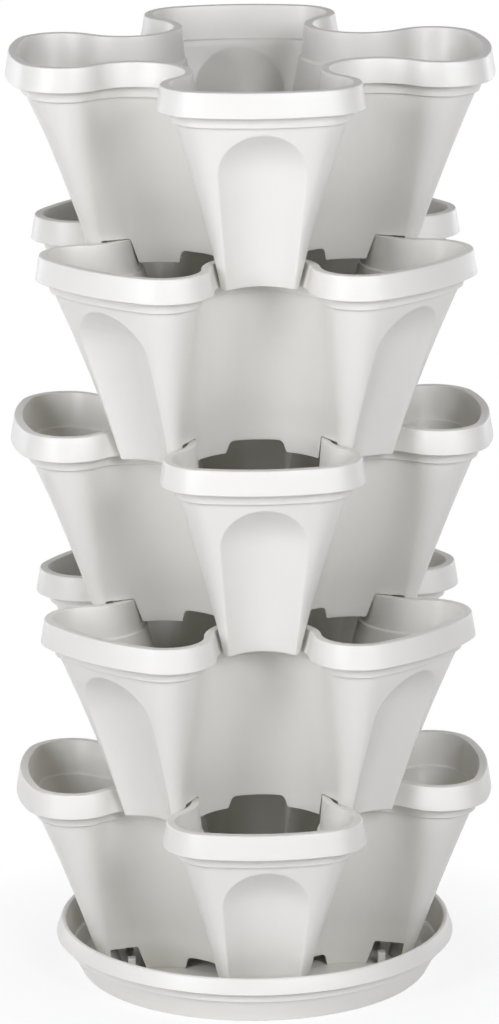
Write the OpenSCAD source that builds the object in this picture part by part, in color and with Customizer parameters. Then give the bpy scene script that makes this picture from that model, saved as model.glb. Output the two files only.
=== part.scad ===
// Tiered plant stand: five four-lobed pots stacked on a round saucer.
// Each pot is turned 45 degrees to the next. Its lobe ends hang outside the rim below,
// its inward folds hang inside the lobes below, and eight slots let that rim pass.
// Millimetres, +Z up, origin under the middle of the saucer.

/* [Pot] */
// Tip to tip over two opposite lobes, at the foot of the rim band
pot_width = 304.8; // [296:0.2:316]
// Rim to lower edge of one pot
pot_height = 132; // [126:0.5:145]
// Widest part of one lobe, at the foot of the rim band
lobe_width = 127.2; // [124:0.2:129]
// Across the pot between two opposite inward folds, at the foot of the rim band
waist_width = 155.6; // [152:0.2:160]
// Radius of a lobe's corners, at the foot of the rim band
lobe_corner = 31; // [28:0.5:33]
// Radius of the nearly flat end of a lobe, at the foot of the rim band
lobe_bow = 147; // [120:1:170]
// Thickness of the moulded wall
wall = 2.2; // [1.8:0.1:2.5]
// Thickness of the pot's floor
floor_wall = 2.2; // [1.6:0.1:4]

/* [Rim] */
// Height of the rim band
band_height = 15.3; // [12:0.1:15.5]
// How far the band leans out from its top to its foot
band_flare = 2.6; // [1.5:0.1:3]
// Width of the flat land on top of the rim
lip_width = 5.2; // [4.5:0.1:5.6]
// Thickness of the band
band_wall = 1.8; // [1.5:0.1:2.2]
// How far below the rim the hollow behind the band begins
band_root = 4; // [3:0.5:8]
// Width of that hollow at its top
root_step = 2.2; // [1:0.1:2.2]
// Height of the second, smaller band
shoulder_height = 7.5; // [5:0.5:10]
// How far the second band stands out from the wall below it
shoulder_step = 2.2; // [1:0.1:2.6]
// Width of the ledge inside the rim
ledge_width = 1.5; // [0.6:0.1:2]
// How far the ledge lies above the second band's foot
ledge_rise = 2; // [1:0.1:4]

/* [Wall] */
// How far the wall's top stands in from the band's foot, at a lobe's tip and sides
lobe_step = 11.2; // [9.5:0.1:12.5]
// How far the wall's top stands in from the band's foot, in the folds
fold_step = 8.4; // [7.5:0.1:8.6]
// Tip to tip at the pot's lower edge
foot_width = 199.8; // [195:0.2:206]
// Width of one lobe at the pot's lower edge
foot_lobe = 47.6; // [44:0.2:48.4]
// Between opposite folds at the pot's lower edge
foot_waist = 83.2; // [80:0.2:90]
// Radius of a lobe's corners at the pot's lower edge
foot_corner = 5; // [4:0.5:7]
// How far the wall hollows in at mid height
wall_hollow = 1.6; // [0:0.1:2.5]

/* [Niche] */
// Widest part of the arched niche in each lobe's end
niche_width = 54; // [44:0.5:58]
// Width of the niche at the pot's lower edge
niche_foot = 41; // [34:0.5:42]
// Rim to the top of the arch
niche_top = 28; // [26:0.5:36]
// Height of the arch from its springing line to its top
niche_rise = 26; // [18:0.5:34]
// Depth of the niche
niche_depth = 11; // [6:0.5:12]

/* [Stacking] */
// How far each pot reaches down over the pot below
nest_depth = 15.6; // [13:0.1:17]
// Free gap between a slot's inner end and the rim's inner edge
rim_gap = 0.4; // [0.4:0.1:1]
// Free gap between a slot's outer end and the foot of the rim band
slot_gap = 1; // [0.8:0.1:1.8]
// Free height between a slot's top and the rim in it
slot_lift = 0.4; // [0.3:0.1:1]
// How much narrower each side of a fold is at its lower edge than at the slot's top
fold_taper = 2.5; // [1:0.5:5]
// Height of the notch in the middle of each fold's lower edge
notch_height = 8; // [5:0.5:10]
// Width of the notch at its top, measured along the wall
notch_top = 33; // [26:0.5:36]
// Width of the notch at the lower edge, measured along the wall
notch_foot = 39; // [36.5:0.5:44]

/* [Saucer] */
// Diameter at the foot of the saucer's rim band
saucer_width = 256.2; // [250:0.2:270]
// Height of the saucer
saucer_height = 32.6; // [28:0.2:36]
// Diameter that rests on the ground
saucer_foot = 223.6; // [214:0.2:228]
// Height of the saucer's rim band
saucer_band = 9.8; // [8:0.1:12]
// How far the saucer's band leans out from its top to its foot
saucer_flare = 4; // [3:0.1:5]
// Width of the flat land on top of the saucer's rim
saucer_lip = 2.2; // [1.8:0.1:3]
// Height of the smaller band under it
saucer_shoulder = 6.6; // [3:0.1:8]
// How far the smaller band stands in from the larger one
saucer_inset = 5.2; // [4.5:0.1:6]
// How far the saucer's inside ledge lies below the smaller band
saucer_ledge = 2; // [1:0.1:6]
// Width of the saucer's inside ledge
saucer_step = 1; // [0.6:0.1:1.2]
// Width of the ring that rests on the ground
saucer_ring = 2; // [1.5:0.1:4]
// Height of the saucer's floor above the ground
saucer_floor = 3.1; // [3:0.1:5]
// Width of the tabs that stand in the bottom pot's slots
tab_width = 5; // [4:0.5:5.5]
// Height of the tabs above the saucer's floor
tab_height = 9; // [5:0.5:11]
// Thickness of the tabs, across the pot's wall
tab_depth = 6; // [4:0.5:8]
// Free gap between a tab and the inner end of its slot
tab_gap = 1; // [0.6:0.1:1.5]

/* [Drain disc] */
// Diameter of the round opening in each pot's floor
drain_bore = 52; // [40:0.5:58]
// Free gap round the disc's spigot in the opening
drain_gap = 0.8; // [0.5:0.1:1.2]
// How far the disc's edge overlaps the floor
drain_lap = 4; // [2.5:0.5:5]
// Thickness of the disc
disc_wall = 2; // [1.5:0.1:3]
// Diameter of the holes in the disc
hole_width = 4.4; // [3:0.1:5]

/* [Hidden] */
stone = "#dcdcd8";
shade = "#c9c9c4";
pitch = pot_height - nest_depth;
pot_rise = saucer_floor + pot_height;
side_lean = 15;
foot_bow = 199;
wall_bow = 158;
wall_corner = 22;
band_foot = -band_height;
shoulder_foot = band_foot - shoulder_height;
ledge = shoulder_foot + ledge_rise;
niche_spring = -niche_top - niche_rise;
step_drop = 0.6;
step_run = 0.5;
edge = 0.8;
sunk = 0.5;
diagonal = [1, 1] / sqrt(2);
tip_segments = 5;
arch_shares = [0, 0.5, 0.88];

// Outlines. One eighth of the plan runs from a fold, on the diagonal, to a lobe's tip,
// on the X axis: a hollow fold arc, a straight side, a corner arc and the tip's bow.
// An outline is [tip, side, fold, corner, bow, ease]; ease turns the straight side from
// its natural lean, 0, to side_lean, 1.
band_outline = [pot_width / 2, lobe_width / 2, waist_width / 2, lobe_corner, lobe_bow, 0];
wall_outline = [pot_width / 2 - lobe_step, lobe_width / 2 - lobe_step, waist_width / 2 - fold_step,
                wall_corner, wall_bow, 0];
foot_outline = [foot_width / 2, foot_lobe / 2, foot_waist / 2, foot_corner, foot_bow, 1];

function grown(o, t) = [o[0] + t, o[1] + t, o[2] + t, o[3] + t, o[4] + t, o[5]];
function degrees(length, radius) = length / radius * 180 / PI;
function arc_length(angle, radius) = angle * radius * PI / 180;
function on_circle(centre, radius, angle) = centre + radius * [cos(angle), sin(angle)];

// Wall outline at a height below the rim: straight from top to foot, a little hollow.
function wall_at(z) =
    let (f = (shoulder_foot - z) / (pot_height + shoulder_foot),
         sag = 4 * wall_hollow * f * (1 - f))
    wall_outline * (1 - f) + foot_outline * f - [sag, sag, 0, 0, 0, 0];

function corner_centre(o) =
    let (span = o[4] - o[3])
    [o[0] - o[4] + span * cos(asin((o[1] - o[3]) / span)), o[1] - o[3]];

// Lean of the side at which the corner arc runs straight into the fold arc.
function natural_lean(o, c) =
    let (k = o[3] - o[2],
         far = (c * c - k * k) / (2 * (k + c * diagonal)),
         way = far * diagonal - c)
    atan2(way[1], way[0]) - 90;

// [corner centre, bow angle, lean, fold centre, fold radius, four lengths from fold to tip]
function measured(o) =
    let (c = corner_centre(o),
         bow_angle = asin((o[1] - o[3]) / (o[4] - o[3])),
         lean = natural_lean(o, c) * (1 - o[5]) + side_lean * o[5],
         out = [-sin(lean), cos(lean)],
         along = [cos(lean), sin(lean)],
         far = (o[2] - out * c - o[3]) / (1 - out * diagonal),
         fold = far * diagonal,
         radius = far - o[2])
    [c, bow_angle, lean, fold, radius,
     arc_length(45 + lean, radius), (c - fold) * along,
     arc_length(90 + lean - bow_angle, o[3]), arc_length(bow_angle, o[4])];

function whole(m) = m[5] + m[6] + m[7] + m[8];

// Point of the outline at a distance from the fold, moved in by inset square to the wall.
function outline_point(o, m, distance, inset) =
    let (out = [-sin(m[2]), cos(m[2])],
         along = [cos(m[2]), sin(m[2])],
         side = distance - m[5],
         corner = side - m[6],
         tip = corner - m[7])
    side < 0 ? on_circle(m[3], m[4] + inset, 225 + degrees(distance, m[4]))
    : corner < 0 ? m[3] - (m[4] + inset) * out + side * along
    : tip < 0 ? on_circle(m[0], o[3] - inset, 90 + m[2] - degrees(corner, o[3]))
    : on_circle([o[0] - o[4], 0], o[4] - inset, degrees(m[8] - tip, o[4]));

// Depth of the arched niche at a point of a lobe's end: full along its middle line,
// nothing at its edge, and rounded over at the top.
function niche(across, z) =
    let (down = max(0, (niche_spring - z) / (pot_height + niche_spring)),
         half = (niche_width * (1 - down) + niche_foot * down) / 2,
         q = pow(across / half, 2) + pow(max(0, (z - niche_spring) / niche_rise), 2))
    niche_depth * max(0, 1 - q);

// Point of the wall at a height, with the niche pressed in.
function wall_point(z, distance, inset) =
    let (o = wall_at(z),
         m = measured(o),
         face = outline_point(o, m, distance, 0),
         p = outline_point(o, m, distance, inset),
         press = face[0] > m[0][0] ? niche(p[1], z) : 0)
    [p[0] - press, p[1], z];

// Slots. The rim below is a round hollow as seen from a lobe of the pot above, so a slot
// starts where the wall crosses the rim's inner edge and ends past the foot of its band.
rim_outline = grown(band_outline, -band_flare);
rim_fold = measured(rim_outline);
band_fold = measured(band_outline);
rim_hollow = rim_fold[4] + lip_width + rim_gap;
band_hollow = band_fold[4] - slot_gap;

// Distance along the wall, between near and far, at which its face, moved in by inset,
// is radius from a fold's centre.
function crossing(z, inset, centre, radius, near, far, turns = 24) =
    let (middle = (near + far) / 2,
         away = norm(wall_point(z, middle, inset) - [centre, 0, z]))
    turns == 0 ? middle
    : away > radius ? crossing(z, inset, centre, radius, middle, far, turns - 1)
    : crossing(z, inset, centre, radius, near, middle, turns - 1);

slot_level = -pitch + slot_lift;
foot_side = measured(wall_at(-pot_height));
foot_reach = foot_side[5] + foot_side[6] + foot_side[7] / 2;
near_outside = crossing(-pitch, 0, norm(rim_fold[3]), rim_hollow, 0, foot_reach);
near_inside = crossing(-pitch, wall, norm(rim_fold[3]), rim_hollow, 0, foot_reach);
slot_far = crossing(-pot_height, 0, norm(band_fold[3]), band_hollow, 0, foot_reach);

// Distances of the columns from the fold, and the height of the lower edge at each. The
// slots' inner ends follow the rim below, so they are nearer the fold on the inner face.
function edge_columns(near) = [
    [0, -pot_height + notch_height],
    [notch_top / 4, -pot_height + notch_height],
    [notch_top / 2, -pot_height + notch_height],
    [notch_foot / 2, -pot_height],
    [(notch_foot / 2 + near - fold_taper) / 2, -pot_height],
    [near - fold_taper, -pot_height],
    [near, slot_level],
    [slot_far - step_run, slot_level],
    [slot_far, -pot_height]];
outside_columns = edge_columns(near_outside);
inside_columns = edge_columns(near_inside);
edge_count = len(outside_columns);
columns = edge_count + tip_segments - 1;

function column_distance(i, total, inset) =
    i >= edge_count ? slot_far + (total - slot_far) * (i - edge_count + 1) / tip_segments
    : inset < wall ? outside_columns[i][0] : inside_columns[i][0];
function column_foot(i) = i < edge_count ? outside_columns[i][1] : -pot_height;

// Rows, from the floor up the inside, over the rim and down the outside. The inner and the
// outer face share their heights at the niche, so that the wall keeps its thickness.
floor_top = -pitch + floor_wall;
niche_rows = [for (share = arch_shares) niche_spring + niche_rise * share];
middle_row = (niche_spring - pitch) / 2;

function rim_row(o, z, inset = 0) =
    let (m = measured(o))
    [for (i = [0:columns])
        let (p = outline_point(o, m, column_distance(i, whole(m), 0), inset))
        [p[0], p[1], z]];
function wall_row(z, inset) =
    let (total = whole(measured(wall_at(z))))
    [for (i = [0:columns]) wall_point(z, column_distance(i, total, inset), inset)];
function edge_row(inset) =
    let (total = whole(foot_side))
    [for (i = [0:columns]) wall_point(column_foot(i), column_distance(i, total, inset), inset)];
function bore_row(z) =
    [for (i = [0:columns])
        let (p = on_circle([0, 0], drain_bore / 2, 45 * (1 - i / columns)))
        [p[0], p[1], z]];

shoulder_outline = grown(wall_outline, shoulder_step);
root_outline = grown(band_outline, -band_flare * (1 - band_root / band_height));
inside_rows = len(niche_rows) + 6;
rows = concat(
    [bore_row(floor_top), wall_row(floor_top, wall), wall_row(middle_row, wall)],
    [for (z = niche_rows) wall_row(z, wall)],
    [rim_row(wall_outline, ledge - step_drop, wall),
     rim_row(wall_outline, ledge, wall - ledge_width),
     rim_row(rim_outline, 0, lip_width),
     rim_row(rim_outline, 0),
     rim_row(band_outline, band_foot),
     rim_row(band_outline, band_foot, band_wall),
     rim_row(root_outline, -band_root, band_wall),
     rim_row(root_outline, -band_root, band_wall + root_step),
     rim_row(shoulder_outline, shoulder_foot),
     rim_row(wall_outline, shoulder_foot - step_drop)],
    [for (i = [len(niche_rows) - 1:-1:0]) wall_row(niche_rows[i], 0)],
    [wall_row(middle_row, 0), edge_row(0), edge_row(wall), wall_row(-pitch, wall),
     bore_row(-pitch)]);

// One row right round the pot: each lobe goes from one fold to its tip and on to the next.
function all_round(row, turn) =
    [for (lobe = [0:3], j = [0:2 * columns - 1])
        let (i = j <= columns ? j : 2 * columns - j,
             p = [row[i][0], j < columns ? -row[i][1] : row[i][1]],
             a = 90 * lobe + turn)
        [p[0] * cos(a) - p[1] * sin(a), p[0] * sin(a) + p[1] * cos(a), row[i][2]]];

module pot(number) {
    turn = number % 2 == 0 ? 45 : 0;
    around = 8 * columns;
    points = [for (row = rows) each all_round(row, turn)];
    // Each quad is split from its upper end nearer the tip to its lower end nearer the fold.
    faces = [for (r = [0:len(rows) - 1], j = [0:around - 1])
        let (low = r * around,
             high = (r + 1) % len(rows) * around,
             next = (j + 1) % around,
             to_tip = j % (2 * columns) < columns,
             inside = r < inside_rows)
        each to_tip == inside
            ? [[low + j, high + next, high + j], [low + j, low + next, high + next]]
            : [[low + j, low + next, high + j], [low + next, high + next, high + j]]];
    color(stone)
        translate([0, 0, pot_rise + (number - 1) * pitch])
            polyhedron(points, faces, convexity = 12);
}

module drain_disc(number) {
    spigot = drain_bore / 2 - drain_gap;
    rings = [[0, 1], [0.34, 6], [0.7, 12]];
    color(shade)
        translate([0, 0, pot_rise + (number - 1) * pitch + floor_top])
            difference() {
                union() {
                    cylinder(r = drain_bore / 2 + drain_lap, h = disc_wall, $fn = 96);
                    translate([0, 0, -floor_wall])
                        cylinder(r = spigot, h = floor_wall + disc_wall / 2, $fn = 96);
                }
                for (ring = rings, k = [0:ring[1] - 1])
                    rotate(360 / ring[1] * k)
                        translate([ring[0] * spigot, 0, -floor_wall - 1])
                            cylinder(d = hole_width, h = floor_wall + disc_wall + 2, $fn = 32);
            }
}

module saucer_shell() {
    rim = saucer_width / 2;
    foot = saucer_foot / 2;
    crest = rim - saucer_flare;
    under = rim - saucer_inset;
    band_z = saucer_height - saucer_band;
    shoulder_z = band_z - saucer_shoulder;
    ledge_z = shoulder_z - saucer_ledge;
    lean = (under - shoulder_step - foot) / (shoulder_z - step_drop - edge);
    inside = foot - wall - lean * edge;
    rotate_extrude($fn = 180)
        polygon([
            [0, saucer_floor - wall],
            [foot - saucer_ring - edge, saucer_floor - wall],
            [foot - saucer_ring, 0],
            [foot - edge, 0],
            [foot, edge],
            [under - shoulder_step, shoulder_z - step_drop],
            [under - edge, shoulder_z],
            [under, band_z],
            [crest, saucer_height - band_root + edge],
            [rim - band_wall, band_z],
            [rim, band_z],
            [crest + edge, saucer_height - edge],
            [crest, saucer_height],
            [crest - saucer_lip + edge / 2, saucer_height],
            [crest - saucer_lip, saucer_height - edge],
            [inside + lean * ledge_z + saucer_step, ledge_z],
            [inside + lean * (ledge_z - step_drop), ledge_z - step_drop],
            [inside + lean * (saucer_floor + edge), saucer_floor + edge],
            [inside, saucer_floor],
            [0, saucer_floor]]);
}

// Tabs on the saucer's floor, one in each slot of the bottom pot.
module tabs() {
    slot_end = wall_point(-pitch, near_outside, wall / 2);
    for (lobe = [0:3], side = [-1, 1])
        rotate(90 * lobe)
            translate([slot_end[0] + tab_gap, side * slot_end[1] - tab_depth / 2, saucer_floor - sunk])
                cube([tab_width, tab_depth, tab_height + sunk]);
}

module saucer() {
    color(stone) {
        saucer_shell();
        tabs();
    }
}

saucer();
pot(1);  // pot_1
pot(2);  // pot_2
pot(3);  // pot_3
pot(4);  // pot_4
pot(5);  // pot_5
drain_disc(1);  // drain_disc_1
drain_disc(2);  // drain_disc_2
drain_disc(3);  // drain_disc_3
drain_disc(4);  // drain_disc_4
drain_disc(5);  // drain_disc_5
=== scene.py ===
"""Tiered plant stand: five four-lobed stacking pots on a round saucer."""
import math

import bpy
import numpy as np
from mathutils import Matrix, Vector


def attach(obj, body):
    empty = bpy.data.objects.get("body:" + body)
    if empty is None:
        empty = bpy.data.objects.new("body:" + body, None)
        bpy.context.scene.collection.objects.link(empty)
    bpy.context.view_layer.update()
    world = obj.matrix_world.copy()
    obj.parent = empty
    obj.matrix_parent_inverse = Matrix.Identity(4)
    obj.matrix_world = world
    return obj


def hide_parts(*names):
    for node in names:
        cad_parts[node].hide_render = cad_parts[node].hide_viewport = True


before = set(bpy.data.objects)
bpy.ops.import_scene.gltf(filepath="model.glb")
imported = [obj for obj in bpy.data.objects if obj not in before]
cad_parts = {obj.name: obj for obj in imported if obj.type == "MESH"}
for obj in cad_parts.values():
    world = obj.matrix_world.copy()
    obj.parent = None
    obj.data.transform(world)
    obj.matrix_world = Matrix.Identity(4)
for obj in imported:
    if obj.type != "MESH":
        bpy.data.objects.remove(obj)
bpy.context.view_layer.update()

# Sizes in millimetres. Heights on a pot count up from its rim, which is at 0.
MM = 0.001
TIERS = 5
POT_HEIGHT = 132.0
NEST_DEPTH = 15.6
PITCH = POT_HEIGHT - NEST_DEPTH
SAUCER_FLOOR = 3.1
RIM_RISE = SAUCER_FLOOR + POT_HEIGHT

# An outline is one level of a four-lobed pot, as half sizes: tip, lobe's side, fold,
# lobe's corner radius, radius of the lobe's end, and how far its side has turned from
# its natural lean, 0, to SIDE_LEAN, 1.
BAND = np.array([152.4, 63.6, 77.8, 31.0, 147.0, 0.0])
WALL = np.array([141.2, 52.4, 69.4, 22.0, 158.0, 0.0])
FOOT = np.array([99.9, 23.8, 41.6, 5.0, 199.0, 1.0])
SIDE_LEAN = math.radians(15)
DIAGONAL = math.sqrt(0.5)
TOWARDS_AXIS = math.radians(225)

# Rim: the flared band with the hollow under its edge, the second band's foot, and the ledge
# inside.
BAND_HEIGHT = 15.3
BAND_FLARE = 2.6
BAND_WALL = 1.8
BAND_ROOT = 4.0
ROOT_STEP = 2.2
LIP_WIDTH = 5.2
SHOULDER_FOOT = -22.8
SHOULDER_STEP = 2.2
STEP_DROP = 0.6
LEDGE = -20.8
LEDGE_WIDTH = 1.5

# Wall and floor, with the radius of the floor's round opening.
WALL_THICK = 2.2
WALL_HOLLOW = 1.6
FLOOR_TOP = -PITCH + WALL_THICK
FLOOR_FILLET = 3.0
BORE = 26.0

# Niche in each lobe's end: half its width at the arch and at the foot, and its growth on the
# inner face. It is pressed in up to a margin behind the corner arcs' centres.
NICHE_HALF = 27.0
NICHE_FOOT = 20.5
NICHE_TOP = -28.0
NICHE_RISE = 26.0
NICHE_DEPTH = 11.0
NICHE_EDGE = 0.05
NICHE_GROWTH = 2.2
NICHE_MARGIN = 2.0

# Slots that take the rim below, and the notch in each fold: distances from the fold, and
# heights.
SLOT_NEAR = 47.65
SLOT_NEAR_INSIDE = 45.3
SLOT_FAR = 66.75
SLOT_TAPER = 2.5
SLOT_LIFT = 0.4
SLOT_RUN = 0.4
NOTCH_HEIGHT = 8.0
NOTCH_TOP = 16.5
NOTCH_FOOT = 19.5


# A corner's cut takes at most this share of the straight stretch on each side of it, and its
# bend has this many points.
CUT_SHARE = 0.45
BEND_POINTS = 5


def rounded(table, longest):
    """Path through the corners in a table's rows, each cut off at its radius, which is the row's
    last number, and bent by a parabola between the cuts. Straight stretches are split so that
    no step is longer than longest."""
    table = np.asarray(table, float)
    corners, radii = table[:, :-1], table[:, -1]
    size = len(corners)
    path = [corners[0]]
    for k in range(1, size):
        here = corners[k]
        back = corners[k - 1] - here
        if k == size - 1 or radii[k] == 0:
            knots = [here]
        else:
            ahead = corners[k + 1] - here
            shorter = min(np.linalg.norm(back), np.linalg.norm(ahead))
            cut = min(radii[k], CUT_SHARE * shorter)
            first = here + back / np.linalg.norm(back) * cut
            last = here + ahead / np.linalg.norm(ahead) * cut
            turn = np.linspace(0, 1, BEND_POINTS)[:, None]
            knots = list((1 - turn) ** 2 * first + 2 * turn * (1 - turn) * here + turn ** 2 * last)
        run = np.linalg.norm(knots[0] - path[-1])
        count = max(1, math.ceil(run / longest))
        share = np.arange(1, count)[:, None] / count
        path.extend(list(path[-1] + (knots[0] - path[-1]) * share))
        path.extend(knots)
    return np.array(path)


def measured(outline):
    """Parts of each outline: x and y of the corner arc's centre, the angle of the end's arc, the
    side's lean, x of the fold arc's centre, which is its y too, and its radius, and the lengths
    of the fold arc, side, corner arc and end arc. The side is the line that touches the corner
    circle from inside and the fold circle from outside."""
    tip, side, fold, corner, bow, ease = outline
    span = bow - corner
    bow_angle = np.arcsin((side - corner) / span)
    x = tip - bow + span * np.cos(bow_angle)
    y = side - corner
    drop = corner - fold
    far = (x * x + y * y - drop * drop) / (2 * (drop + (x + y) * DIAGONAL))
    natural = np.arctan2(far * DIAGONAL - y, far * DIAGONAL - x) - math.pi / 2
    lean = natural * (1 - ease) + SIDE_LEAN * ease
    out_x, out_y = -np.sin(lean), np.cos(lean)
    far = (fold - out_x * x - out_y * y - corner) / (1 - (out_x + out_y) * DIAGONAL)
    radius = far - fold
    middle = far * DIAGONAL
    straight = (x - middle) * out_y - (y - middle) * out_x
    lengths = [(math.pi / 4 + lean) * radius, straight,
               (math.pi / 2 + lean - bow_angle) * corner, bow_angle * bow]
    return x, y, bow_angle, lean, middle, radius, lengths


def outline_points(outline, distance, inset):
    """Points of the outlines at a distance from the fold, moved in by inset square to the wall:
    fold arc, straight side, corner arc and end arc in turn."""
    tip, _, _, corner, bow, _ = outline
    centre_x, centre_y, _, lean, middle, radius, (arc, straight, turn, end) = measured(outline)
    out_x, out_y = -np.sin(lean), np.cos(lean)
    angle = TOWARDS_AXIS + distance / radius
    fold_x = middle + (radius + inset) * np.cos(angle)
    fold_y = middle + (radius + inset) * np.sin(angle)
    along = distance - arc
    side_x = middle - (radius + inset) * out_x + along * out_y
    side_y = middle - (radius + inset) * out_y - along * out_x
    angle = math.pi / 2 + lean - (along - straight) / corner
    corner_x = centre_x + (corner - inset) * np.cos(angle)
    corner_y = centre_y + (corner - inset) * np.sin(angle)
    angle = (end - (along - straight - turn)) / bow
    end_x = tip - bow + (bow - inset) * np.cos(angle)
    end_y = (bow - inset) * np.sin(angle)
    where = [along < 0, along < straight, along < straight + turn]
    x = np.select(where, [fold_x, side_x, corner_x], end_x)
    y = np.select(where, [fold_y, side_y, corner_y], end_y)
    return x, y


def wall_at(z):
    """Wall outline at height z: straight from top to foot, less a parabola that makes it a
    little hollow half way."""
    down = (SHOULDER_FOOT - z) / (POT_HEIGHT + SHOULDER_FOOT)
    sag = 4 * WALL_HOLLOW * down * (1 - down)
    tip, side, *others = [top * (1 - down) + foot * down for top, foot in zip(WALL, FOOT)]
    return [tip - sag, side - sag] + others


def niche_half(z, growth):
    """Half width of the niche at height z, and its share of the way up the arch."""
    spring = NICHE_TOP - NICHE_RISE
    down = np.clip((spring - z) / (POT_HEIGHT + spring), 0, 1)
    half = NICHE_HALF * (1 - down) + NICHE_FOOT * down + growth
    up = np.maximum(0, (z - spring) / (NICHE_RISE + growth))
    return half, up


def niche_press(y, z, growth):
    """Depth of the niche: a parabola across it and over its arch, eased in at its edge."""
    half, up = niche_half(z, growth)
    share = 1 - (y / half) ** 2 - up ** 2
    eased = (share + NICHE_EDGE) ** 2 / (4 * NICHE_EDGE)
    return NICHE_DEPTH * np.select([share < -NICHE_EDGE, share < NICHE_EDGE], [0, eased], share)


def pressed(outline, x, y, z, growth):
    """x of points with the niche pressed into the lobe's end; the lobe's sides stay."""
    in_end = x > measured(outline)[0] - NICHE_MARGIN
    return x - np.where(in_end, niche_press(y, z, growth), 0)


def fill_edge(path, longest):
    """The lower edge's path with more points where its steps are longer than longest along it."""
    made = [path[0]]
    for point in path[1:]:
        count = max(1, math.ceil((point[0] - made[-1][0]) / longest))
        start = made[-1]
        made.extend(start + (point - start) * k / count for k in range(1, count + 1))
    return np.array(made)


# Columns of one eighth, from the fold to the tip. Up to the slots' far side each keeps its
# distance from the fold; past that some follow the niche's edge. Each corner of the lower edge
# is a distance from the fold, a height and a radius.
SLOT_TOP = NEST_DEPTH + SLOT_LIFT
SLOT_MARGIN = 2.5
EDGE_CORNERS = [
    (0, NOTCH_HEIGHT, 0), (NOTCH_TOP, NOTCH_HEIGHT, 3.0), (NOTCH_FOOT, 0, 1.0),
    (SLOT_NEAR - SLOT_TAPER, 0, 1.0), (SLOT_NEAR, SLOT_TOP, 1.2), (SLOT_FAR, SLOT_TOP, 1.2),
    (SLOT_FAR + SLOT_RUN, 0, 0.8), (SLOT_FAR + SLOT_MARGIN, 0, 0)]
EDGE_RUN = 20.0
EDGE_STEP = 2.8
EDGE = fill_edge(rounded(EDGE_CORNERS, EDGE_RUN), EDGE_STEP)
TO_NICHE = 18
NICHE_OFFSETS = np.array([-1.2, -0.6, 0.0, 0.6, 1.2])
IN_NICHE = 14
COLUMNS = len(EDGE) + TO_NICHE + len(NICHE_OFFSETS) + IN_NICHE
# The columns beside the niche come no nearer the middle than NARROWEST, and a corner's radius
# less its inset counts as SMALLEST or more.
NARROWEST = 5.0
SMALLEST = 0.1
# The slots' inner ends follow the rim below, so they are nearer the fold on the inner face. The
# columns beside an end move with it, and the move fades out towards the notch and the far end.
INSIDE_SHIFT = SLOT_NEAR_INSIDE - SLOT_NEAR
SHIFT_MARGIN = 1.0
SHIFT_PLACES = [NOTCH_FOOT, SLOT_NEAR - SLOT_TAPER - SHIFT_MARGIN, SLOT_NEAR + SHIFT_MARGIN,
                SLOT_FAR - 2 * SHIFT_MARGIN]
EDGE_SHIFT = np.interp(EDGE[:, 0], SHIFT_PLACES, [0, INSIDE_SHIFT, INSIDE_SHIFT, 0])


def column_distances(outline, z, inset, growth):
    """Distance of every column from the fold, for rows of outlines at heights z: fixed up to the
    slots' far side, then spread evenly to the niche's edge, along it, and on to the tip."""
    _, centre_y, bow_angle, _, _, _, (arc, straight, turn, end) = measured(outline)
    total = arc + straight + turn + end
    half, up = niche_half(z, growth)
    y = np.maximum(half * np.sqrt(np.clip(1 - up ** 2, 0, 1)), NARROWEST)
    corner, bow = outline[3], outline[4]
    in_bow = bow * np.arcsin(np.clip(y / (bow - inset), -1, 1))
    raised = np.arcsin(np.clip((y - centre_y) / np.maximum(corner - inset, SMALLEST), -1, 1))
    in_corner = end + corner * (raised - bow_angle)
    edge = total - np.where(in_bow < end, in_bow, np.maximum(in_corner, end))
    last = EDGE[-1, 0]
    reach = edge + NICHE_OFFSETS[0] - last
    inner = edge + NICHE_OFFSETS[-1]
    parts = [EDGE[:, 0] + EDGE_SHIFT * np.clip(inset / WALL_THICK, 0, 1),
             last + reach * np.arange(1, TO_NICHE + 1) / (TO_NICHE + 1),
             edge + NICHE_OFFSETS,
             inner + (total - inner) * np.arange(1, IN_NICHE + 1) / IN_NICHE]
    rows = np.broadcast(total, z).shape[0]
    return np.concatenate([np.broadcast_to(p, (rows, p.shape[-1])) for p in parts], axis=1)


# Rows of the wall: close together at the niche's top, then even from EVEN_TOP down to the
# skirt, whose rows lie a share of the way down to the lower edge.
NICHE_TOP_DROPS = np.array([-2.0, -1.2, -0.5, 0.2, 0.8, 1.5, 2.4, 3.5, 5, 7, 9.5, 12.5, 16, 20, 25])
EVEN_TOP = -58.0
EVEN_ROWS = 12
SKIRT_TOP = -112.0
SKIRT_SHARES = [0.2, 0.4, 0.6, 0.8, 0.93]
EVEN_LEVELS = np.linspace(EVEN_TOP, SKIRT_TOP, EVEN_ROWS)
WALL_LEVELS = np.concatenate([NICHE_TOP - NICHE_TOP_DROPS, EVEN_LEVELS])
# Rows of the lower edge, each an inset and a rise, and of the skirt's inner side, by shares of
# the way down from the floor's underside.
LOWER_EDGE = [(0.15, 0.12), (0.6, 0.0), (WALL_THICK - 0.6, 0.0), (WALL_THICK - 0.15, 0.12)]
UNDER_SHARES = [0.9, 0.45, 0.0]
UNDER_RISE = 0.2
UNDER_INSET = 0.3
# The rim's rows start this far under its ledge and end this far over the niche's top.
TAIL_INSIDE = 2.5
TAIL_OUTSIDE = 3.0
ROW_STEP = 4.0
# Floor: its opening's edges are eased, a row just inside the fillet keeps the shading flat, and
# the fillet's rows lie at these angles.
BORE_EASE = 0.5
FLOOR_SHARE = 0.98
FILLET_ANGLES = np.radians([15, 40, 65])


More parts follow.
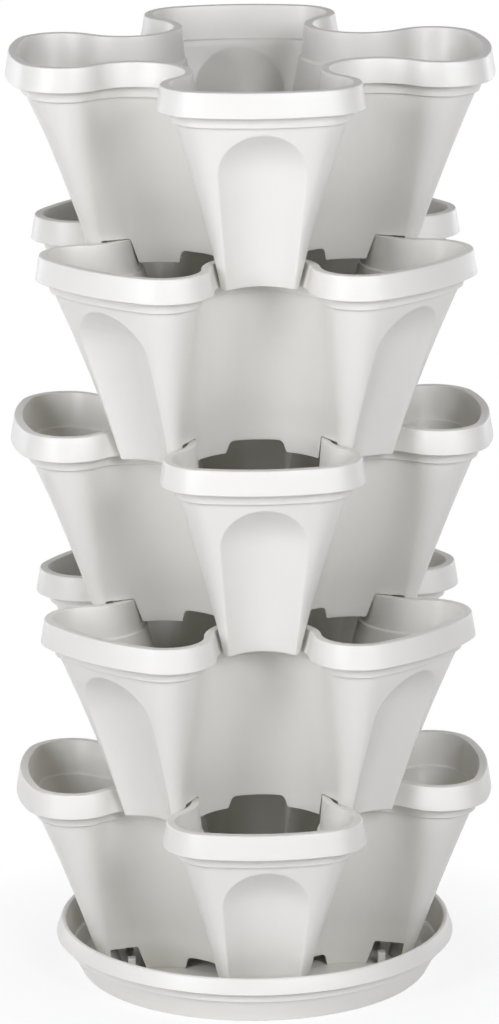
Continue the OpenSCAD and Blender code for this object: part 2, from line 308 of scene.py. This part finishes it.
def level_rows(outlines, insets, heights, growth=None):
    """Rows of points at one height each, with the niche pressed in where growth says so."""
    outline = [size[:, None] for size in np.asarray(outlines).T]
    z = np.asarray(heights, float)[:, None]
    inset = np.asarray(insets, float)[:, None]
    distance = column_distances(outline, z, inset, growth or 0.0)
    x, y = outline_points(outline, distance, inset)
    if growth is not None:
        x = pressed(outline, x, y, z, growth)
    return np.stack([x, y, np.broadcast_to(z, x.shape)], axis=-1)


def wall_rows(heights, inset, growth):
    """Rows of the wall at heights, moved in by inset, with the niche wider by growth."""
    z = np.asarray(heights, float)
    outlines = np.stack([np.broadcast_to(size, z.shape) for size in wall_at(z)], axis=1)
    return level_rows(outlines, np.full(len(z), inset), z, growth)


def columns_at(z, inset):
    """Distances of the columns from the fold on the wall at height z."""
    outline = [np.array([[size]]) for size in wall_at(z)]
    return column_distances(outline, np.array([[z]]), inset, 0.0)


def skirt_rows(shares, inset, top, raise_by=0.0):
    """Rows between the level top and the lower edge, each a share of the way down. Their columns
    go from their places at the top to those at the foot in the same share."""
    lower = np.full(COLUMNS, -POT_HEIGHT)
    lower[:len(EDGE)] += EDGE[:, 1]
    lower += raise_by
    z = top + (lower[None, :] - top) * np.asarray(shares, float)[:, None]
    down = (top - z) / (top + POT_HEIGHT)
    distance = columns_at(top, inset) * (1 - down) + columns_at(-POT_HEIGHT, inset) * down
    outline = wall_at(z)
    x, y = outline_points(outline, distance, inset)
    return np.stack([pressed(outline, x, y, z, 0.0), y, z], axis=-1)


def rim_rows():
    """Rows from the ledge inside the rim, over the rim, under the band and down the second band.
    The path is rounded as a path of outlines, insets and heights together."""
    all_sizes = np.array([1, 1, 1, 1, 1, 0])
    rim = BAND - BAND_FLARE * all_sizes
    root = BAND - BAND_FLARE * (1 - BAND_ROOT / BAND_HEIGHT) * all_sizes
    shoulder = WALL + SHOULDER_STEP * all_sizes
    inner_foot = LEDGE - STEP_DROP - TAIL_INSIDE
    outer_foot = NICHE_TOP + TAIL_OUTSIDE
    # Each corner is an outline, an inset, a height and a radius.
    corners = [
        (wall_at(inner_foot), WALL_THICK, inner_foot, 0),
        (WALL, WALL_THICK, LEDGE - STEP_DROP, 0.6),
        (WALL, WALL_THICK - LEDGE_WIDTH, LEDGE, 0.5),
        (rim, LIP_WIDTH, 0, 0.4),
        (rim, 0, 0, 0.9),
        (BAND, 0, -BAND_HEIGHT, 0.7),
        (BAND, BAND_WALL, -BAND_HEIGHT, 0.4),
        (root, BAND_WALL, -BAND_ROOT, 0.5),
        (root, BAND_WALL + ROOT_STEP, -BAND_ROOT, 0.5),
        (shoulder, 0, SHOULDER_FOOT, 0.7),
        (WALL, 0, SHOULDER_FOOT - STEP_DROP, 0.4),
        (wall_at(outer_foot), 0, outer_foot, 0)]
    table = np.array([[*outline, inset, z, radius] for outline, inset, z, radius in corners])
    # The outline's sizes change together, so each counts for less than its inset and height.
    weight = np.array([0.5, 0.5, 0.5, 0.2, 0.2, 1, 1, 1, 1])
    path = rounded(table * weight, ROW_STEP) / weight[:-1]
    return level_rows(path[:, :-2], path[:, -2], path[:, -1])


def bore_ring(radius, z):
    """Ring of the round floor opening, its points spread as the wall's columns are."""
    distance = columns_at(-PITCH, WALL_THICK)
    angle = math.pi / 4 * (1 - distance / distance[0, -1])
    return np.stack([radius * np.cos(angle), radius * np.sin(angle), np.full(angle.shape, z)], axis=-1)


def pot_points():
    """One eighth of a pot: rows by columns of points, from the floor's opening up the inside,
    over the rim, down the outside and back under the floor."""
    floor_edge = wall_rows([FLOOR_TOP], WALL_THICK + FLOOR_FILLET, NICHE_GROWTH)
    floor = [bore_ring(BORE, FLOOR_TOP - BORE_EASE), bore_ring(BORE + BORE_EASE, FLOOR_TOP),
             floor_edge * np.array([FLOOR_SHARE, FLOOR_SHARE, 1.0]), floor_edge]
    fillet = [wall_rows([FLOOR_TOP + FLOOR_FILLET * (1 - math.cos(angle))],
                        WALL_THICK + FLOOR_FILLET * (1 - math.sin(angle)), NICHE_GROWTH)
              for angle in FILLET_ANGLES]
    walls = [wall_rows(WALL_LEVELS[-2::-1], WALL_THICK, NICHE_GROWTH), rim_rows(),
             wall_rows(WALL_LEVELS, 0.0, 0.0),
             skirt_rows(SKIRT_SHARES, 0.0, SKIRT_TOP)]
    edge = [skirt_rows([1.0], inset, SKIRT_TOP, rise) for inset, rise in LOWER_EDGE]
    under = [skirt_rows(UNDER_SHARES, WALL_THICK, -PITCH + UNDER_RISE),
             wall_rows([-PITCH], WALL_THICK + UNDER_INSET, 0.0),
             bore_ring(BORE + BORE_EASE, -PITCH), bore_ring(BORE, -PITCH + BORE_EASE)]
    return np.concatenate(floor + fillet + walls + edge + under, axis=0)


def all_round(eighth, turn, rise):
    """Turn the eighth into the whole ring of four lobes, each from one fold to the next."""
    lobe = np.concatenate([eighth * np.array([1, -1, 1]), eighth[:, -2:0:-1]], axis=1)
    ring = []
    for quarter in range(4):
        angle = math.radians(90 * quarter + turn)
        cos, sin = math.cos(angle), math.sin(angle)
        ring.append(lobe @ np.array([[cos, sin, 0], [-sin, cos, 0], [0, 0, 1]]))
    return np.concatenate(ring, axis=1) + np.array([0, 0, rise])


def ring_faces(rows, around, closed):
    """Quads between successive rings of points; closed joins the last ring to the first."""
    row = np.arange(rows if closed else rows - 1)[:, None]
    place = np.arange(around)[None, :]
    low = row * around
    high = (row + 1) % rows * around
    ahead = (place + 1) % around
    return np.stack([low + place, high + place, high + ahead, low + ahead], axis=-1).reshape(-1, 4)


# Smooth shading breaks at edges that turn by more than this.
SHARP_EDGE = math.radians(50)


def make_mesh(name, points, faces):
    """Mesh object from arrays of points in millimetres and of quads."""
    mesh = bpy.data.meshes.new(name)
    mesh.vertices.add(len(points))
    mesh.vertices.foreach_set("co", (points * MM).astype(np.float32).ravel())
    mesh.loops.add(faces.size)
    mesh.loops.foreach_set("vertex_index", faces.astype(np.int32).ravel())
    mesh.polygons.add(len(faces))
    mesh.polygons.foreach_set("loop_start", np.arange(0, faces.size, 4, dtype=np.int32))
    mesh.update(calc_edges=True)
    mesh.validate()
    mesh.shade_smooth()
    mesh.set_sharp_from_angle(angle=SHARP_EDGE)
    obj = bpy.data.objects.new(name, mesh)
    bpy.context.scene.collection.objects.link(obj)
    return obj


def make_pot(number, eighth, material):
    """A pot's surface at its tier, turned an eighth round on every second tier."""
    turn = 45 if number % 2 == 0 else 0
    ring = all_round(eighth, turn, RIM_RISE + (number - 1) * PITCH)
    rows, around = ring.shape[:2]
    pot = make_mesh(f"pot_{number}_shell", ring.reshape(-1, 3), ring_faces(rows, around, True))
    pot.data.materials.append(material)
    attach(pot, f"pot_{number}")
    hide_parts(f"pot_{number}")


# Saucer's profile: each corner is a distance from the axis, a height and a radius.
SAUCER_CORNERS = [
    (0.5, 0.9, 0), (109.0, 0.9, 0.6), (109.8, 0, 0.3), (111.2, 0, 0.5), (112.2, 1.0, 0.8),
    (119.7, 15.6, 0.4), (121.9, 16.2, 0.6), (122.6, 22.8, 0.4), (124.1, 29.4, 0.8),
    (126.3, 22.8, 0.4), (128.1, 22.8, 0.7), (124.7, 32.6, 1.6), (121.9, 32.6, 1.0),
    (117.7, 14.2, 0.8), (116.4, 13.6, 0.6), (111.0, 3.1, 2.0), (0.5, 3.1, 0)]
SAUCER_AROUND = 360
SAUCER_STEP = 12.0
# Saucer's tabs: width, depth and height, and the place of one of them. The profile starts a
# little under the floor, and each of its corners is a share of the half size, a height and a
# radius.
TAB = (5.0, 6.0, 9.0)
TAB_PLACE = (80.5, 21.0)
TAB_SUNK = 0.4
TAB_CORNERS = [(1.0, -TAB_SUNK, 0), (1.0, TAB[2], 0.25), (0.02, TAB[2], 0)]
TAB_STEP = 3.0
TAB_AROUND = 32
TAB_POWER = 0.3


def make_saucer(material):
    """Saucer: its profile turned about the stack's axis."""
    profile = rounded(SAUCER_CORNERS, SAUCER_STEP)
    angle = np.arange(SAUCER_AROUND) * (2 * math.pi / SAUCER_AROUND)
    ring = np.stack([profile[:, :1] * np.cos(angle), profile[:, :1] * np.sin(angle),
                     np.broadcast_to(profile[:, 1:], (len(profile), SAUCER_AROUND))], axis=-1)
    faces = ring_faces(len(profile), SAUCER_AROUND, True)[:, ::-1]
    saucer = make_mesh("saucer_dish", ring.reshape(-1, 3), faces)
    saucer.data.materials.append(material)
    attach(saucer, "saucer")
    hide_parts("saucer")


def make_tabs(material):
    """Eight tabs on the saucer's floor: rounded squares, a sine and a cosine raised to a small
    power, swept up and drawn in at the top."""
    angle = np.arange(TAB_AROUND) * (2 * math.pi / TAB_AROUND)
    across = np.sign(np.cos(angle)) * np.abs(np.cos(angle)) ** TAB_POWER
    along = np.sign(np.sin(angle)) * np.abs(np.sin(angle)) ** TAB_POWER
    profile = rounded(TAB_CORNERS, TAB_STEP)
    points, faces = [], []
    for quarter in range(4):
        for side in (-1, 1):
            x = TAB_PLACE[0] + profile[:, :1] * across * TAB[0] / 2
            y = side * TAB_PLACE[1] + profile[:, :1] * along * TAB[1] / 2
            z = np.broadcast_to(SAUCER_FLOOR + profile[:, 1:], x.shape)
            cos, sin = math.cos(quarter * math.pi / 2), math.sin(quarter * math.pi / 2)
            ring = ring_faces(len(profile), TAB_AROUND, False)[:, ::-1]
            faces.append(ring + sum(len(p) for p in points))
            turned = np.stack([x * cos - y * sin, x * sin + y * cos, z], axis=-1)
            points.append(turned.reshape(-1, 3))
    tabs = make_mesh("saucer_tabs", np.concatenate(points), np.concatenate(faces))
    tabs.data.materials.append(material)
    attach(tabs, "saucer")


def finish_disc(number, material):
    """A drainage disc keeps its solid's mesh and gets its own plastic."""
    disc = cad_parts[f"drain_disc_{number}"]
    disc.data.materials.clear()
    disc.data.materials.append(material)


# Plastics: colour and roughness, the shade of the cloud's dark parts, and how far the
# roughness goes down and up with the cloud.
POT_COLOUR = (0.706, 0.69, 0.632)
POT_ROUGHNESS = 0.42
DISC_COLOUR = (0.6, 0.6, 0.58)
DISC_ROUGHNESS = 0.5
CLOUD_SHADE = 0.975
GLOSSIER = 0.05
DULLER = 0.06


def plastic(name, colour, roughness):
    """Moulded polypropylene: a faint cloud in its colour and gloss, and a fine moulded grain."""
    material = bpy.data.materials.new(name)
    material.use_nodes = True
    nodes, links = material.node_tree.nodes, material.node_tree.links
    shader = nodes["Principled BSDF"]
    place = nodes.new("ShaderNodeTexCoord")
    cloud = nodes.new("ShaderNodeTexNoise")
    cloud.inputs["Scale"].default_value = 14
    cloud.inputs["Detail"].default_value = 3
    tint = nodes.new("ShaderNodeMix")
    tint.data_type = "RGBA"
    tint.inputs["A"].default_value = (*[v * CLOUD_SHADE for v in colour], 1)
    tint.inputs["B"].default_value = (*colour, 1)
    gloss = nodes.new("ShaderNodeMapRange")
    gloss.inputs["To Min"].default_value = roughness - GLOSSIER
    gloss.inputs["To Max"].default_value = roughness + DULLER
    grain = nodes.new("ShaderNodeTexNoise")
    grain.inputs["Scale"].default_value = 900
    grain.inputs["Detail"].default_value = 2
    bump = nodes.new("ShaderNodeBump")
    bump.inputs["Strength"].default_value = 0.06
    bump.inputs["Distance"].default_value = 0.0004
    for texture in (cloud, grain):
        links.new(place.outputs["Object"], texture.inputs["Vector"])
    links.new(cloud.outputs["Fac"], tint.inputs["Factor"])
    links.new(cloud.outputs["Fac"], gloss.inputs["Value"])
    links.new(grain.outputs["Fac"], bump.inputs["Height"])
    links.new(tint.outputs["Result"], shader.inputs["Base Color"])
    links.new(gloss.outputs["Result"], shader.inputs["Roughness"])
    links.new(bump.outputs["Normal"], shader.inputs["Normal"])
    shader.inputs["IOR"].default_value = 1.49
    return material


# Camera, fitted to the photograph's frame of 499 by 1024 pixels: focal length in pixels,
# places and sensor in millimetres, angles in radians.
IMAGE_HEIGHT = 1024
SENSOR = 36.0
FOCAL = 5726.3
CAMERA_AWAY = 3500.85
CAMERA_UP = 1261.0
CAMERA_SIDE = -1.89
CAMERA_PITCH = 0.2675
CAMERA_TURN = math.radians(-3.2)
CAMERA_ROLL = 0.0055


def make_camera():
    """Camera from its place and its own right, up and forward directions, rolled a little."""
    data = bpy.data.cameras.new("camera")
    data.sensor_width = SENSOR
    data.lens = FOCAL / IMAGE_HEIGHT * data.sensor_width
    data.clip_start, data.clip_end = 0.05, 60
    camera = bpy.data.objects.new("camera", data)
    bpy.context.scene.collection.objects.link(camera)
    spin = np.array(Matrix.Rotation(CAMERA_TURN, 3, "Z"))
    right = np.array([1.0, 0, 0])
    ahead = np.array([0, math.cos(CAMERA_PITCH), -math.sin(CAMERA_PITCH)])
    up = np.array([0, math.sin(CAMERA_PITCH), math.cos(CAMERA_PITCH)])
    cos, sin = math.cos(CAMERA_ROLL), math.sin(CAMERA_ROLL)
    axes = [cos * right - sin * up, sin * right + cos * up, -ahead]
    place = spin @ np.array([CAMERA_SIDE, -CAMERA_AWAY, CAMERA_UP]) * MM
    matrix = np.eye(4)
    matrix[:3, :3] = np.stack([spin @ axis for axis in axes], axis=1)
    matrix[:3, 3] = place
    camera.matrix_world = Matrix(matrix.tolist())
    bpy.context.scene.camera = camera


# Lamps: name, place in metres, side of the square in metres, and power in watts.
LAMPS = [("key", (1.0, -2.4, 1.6), 0.9, 38),
         ("left_high", (-1.9, -1.9, 1.75), 0.9, 27),
         ("left_low", (-1.95, -1.95, 0.85), 0.9, 28),
         ("right_low", (1.95, -1.95, 0.85), 0.9, 12),
         ("back_left", (-1.9, 1.7, 0.6), 1.2, 15),
         ("back_right", (1.9, 1.7, 0.6), 1.2, 15)]
LIT_POINT = Vector((0, 0, 0.3))
LAMP_COLOUR = (0.97, 0.985, 1.07)
WORLD_LIGHT = 0.04


def area_light(name, place, side, power):
    """Soft square lamp that faces the middle of the stand."""
    data = bpy.data.lights.new(name, "AREA")
    data.shape = "SQUARE"
    data.size = side
    data.energy = power
    data.color = LAMP_COLOUR
    lamp = bpy.data.objects.new(name, data)
    bpy.context.scene.collection.objects.link(lamp)
    lamp.location = place
    lamp.rotation_mode = "QUATERNION"
    lamp.rotation_quaternion = (LIT_POINT - Vector(place)).to_track_quat("-Z", "Y")


def seen_rays(nodes, links):
    """Socket that is 1 for rays from the camera or sent on by a glossy or clear surface."""
    path = nodes.new("ShaderNodeLightPath")
    socket = path.outputs["Is Camera Ray"]
    for ray in ("Is Glossy Ray", "Is Transmission Ray"):
        either = nodes.new("ShaderNodeMath")
        either.operation = "MAXIMUM"
        links.new(socket, either.inputs[0])
        links.new(path.outputs[ray], either.inputs[1])
        socket = either.outputs["Value"]
    return socket


# Floor: half its side, and the distances from the axis between which it turns from nearly to
# fully white to the camera, in metres.
FLOOR_HALF = 8.0
FADE_NEAR = 0.14
FADE_FAR = 0.25
FADE_START = 0.85


def make_floor():
    """Pale floor that turns white away from the stand, as a studio sweep does."""
    points = np.array([[-1, -1, 0], [1, -1, 0], [1, 1, 0], [-1, 1, 0]]) * FLOOR_HALF / MM
    floor = make_mesh("floor", points, np.array([[0, 1, 2, 3]]))
    material = bpy.data.materials.new("floor")
    material.use_nodes = True
    nodes, links = material.node_tree.nodes, material.node_tree.links
    shader = nodes["Principled BSDF"]
    shader.inputs["Base Color"].default_value = (0.85, 0.85, 0.85, 1)
    shader.inputs["Roughness"].default_value = 0.9
    white = nodes.new("ShaderNodeEmission")
    mix = nodes.new("ShaderNodeMixShader")
    place = nodes.new("ShaderNodeTexCoord")
    away = nodes.new("ShaderNodeVectorMath")
    away.operation = "LENGTH"
    fade = nodes.new("ShaderNodeMapRange")
    fade.inputs["From Min"].default_value = FADE_NEAR
    fade.inputs["From Max"].default_value = FADE_FAR
    fade.inputs["To Min"].default_value = FADE_START
    fade.inputs["To Max"].default_value = 1.0
    seen = nodes.new("ShaderNodeMath")
    seen.operation = "MULTIPLY"
    links.new(place.outputs["Object"], away.inputs[0])
    links.new(away.outputs["Value"], fade.inputs["Value"])
    links.new(fade.outputs["Result"], seen.inputs[0])
    links.new(seen_rays(nodes, links), seen.inputs[1])
    links.new(seen.outputs["Value"], mix.inputs["Fac"])
    links.new(shader.outputs["BSDF"], mix.inputs[1])
    links.new(white.outputs["Emission"], mix.inputs[2])
    links.new(mix.outputs["Shader"], nodes["Material Output"].inputs["Surface"])
    floor.data.materials.append(material)


def make_world():
    """White to the camera and in reflections; a faint even light on the rest."""
    world = bpy.data.worlds.new("studio")
    bpy.context.scene.world = world
    world.use_nodes = True
    nodes, links = world.node_tree.nodes, world.node_tree.links
    light = nodes["Background"]
    light.inputs["Color"].default_value = (1, 1, 1, 1)
    light.inputs["Strength"].default_value = WORLD_LIGHT
    white = nodes.new("ShaderNodeBackground")
    white.inputs["Color"].default_value = (1, 1, 1, 1)
    mix = nodes.new("ShaderNodeMixShader")
    links.new(seen_rays(nodes, links), mix.inputs["Fac"])
    links.new(light.outputs["Background"], mix.inputs[1])
    links.new(white.outputs["Background"], mix.inputs[2])
    links.new(mix.outputs["Shader"], nodes["World Output"].inputs["Surface"])


make_camera()
pot_plastic = plastic("pot_plastic", POT_COLOUR, POT_ROUGHNESS)
disc_plastic = plastic("disc_plastic", DISC_COLOUR, DISC_ROUGHNESS)
eighth = pot_points()
for number in range(1, TIERS + 1):
    make_pot(number, eighth, pot_plastic)
    finish_disc(number, disc_plastic)
make_saucer(pot_plastic)
make_tabs(pot_plastic)
make_floor()
make_world()
for lamp in LAMPS:
    area_light(*lamp)
bpy.context.scene.view_settings.view_transform = "Standard"
